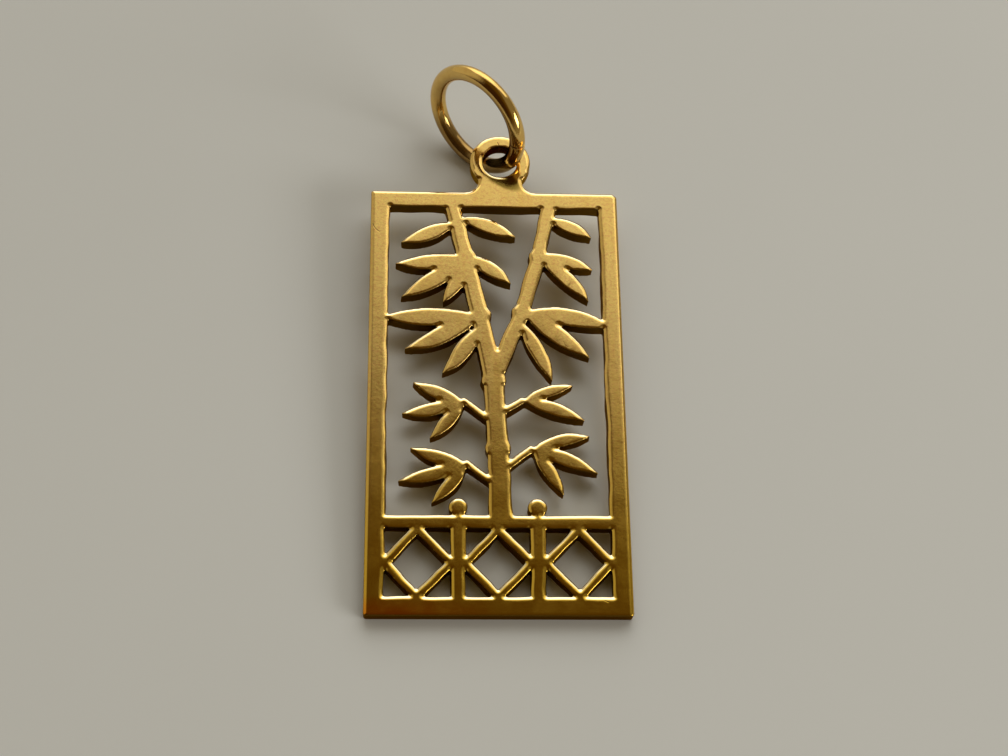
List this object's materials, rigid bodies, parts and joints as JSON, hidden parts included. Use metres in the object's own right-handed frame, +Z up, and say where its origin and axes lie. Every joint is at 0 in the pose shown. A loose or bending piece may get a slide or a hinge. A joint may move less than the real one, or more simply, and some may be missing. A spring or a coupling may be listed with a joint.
{
  "type": "pendant",
  "caption": "Flat rectangular gold pendant: a plain frame around an openwork of bamboo over a lattice rail, with an eyelet on its top edge and a round-wire jump ring.",
  "frame": {"origin": "on the surface that the pendant lies on, below the middle of its bounding box", "axes": "+X across the frame, to the right as it is seen from the front; +Y up the plate, from its bottom edge to the jump ring; +Z up from the surface, out of the plate's front"},
  "size_m": [0.014, 0.0314, 0.0068],
  "materials": {
    "gold_satin": "satin gold sheet, worn, with polished edges",
    "gold_polished": "polished gold wire, worn"
  },
  "bodies": {
    "root": {"pierced_plate": "gold_satin", "jump_ring": "gold_polished"}
  },
  "joints": []
}
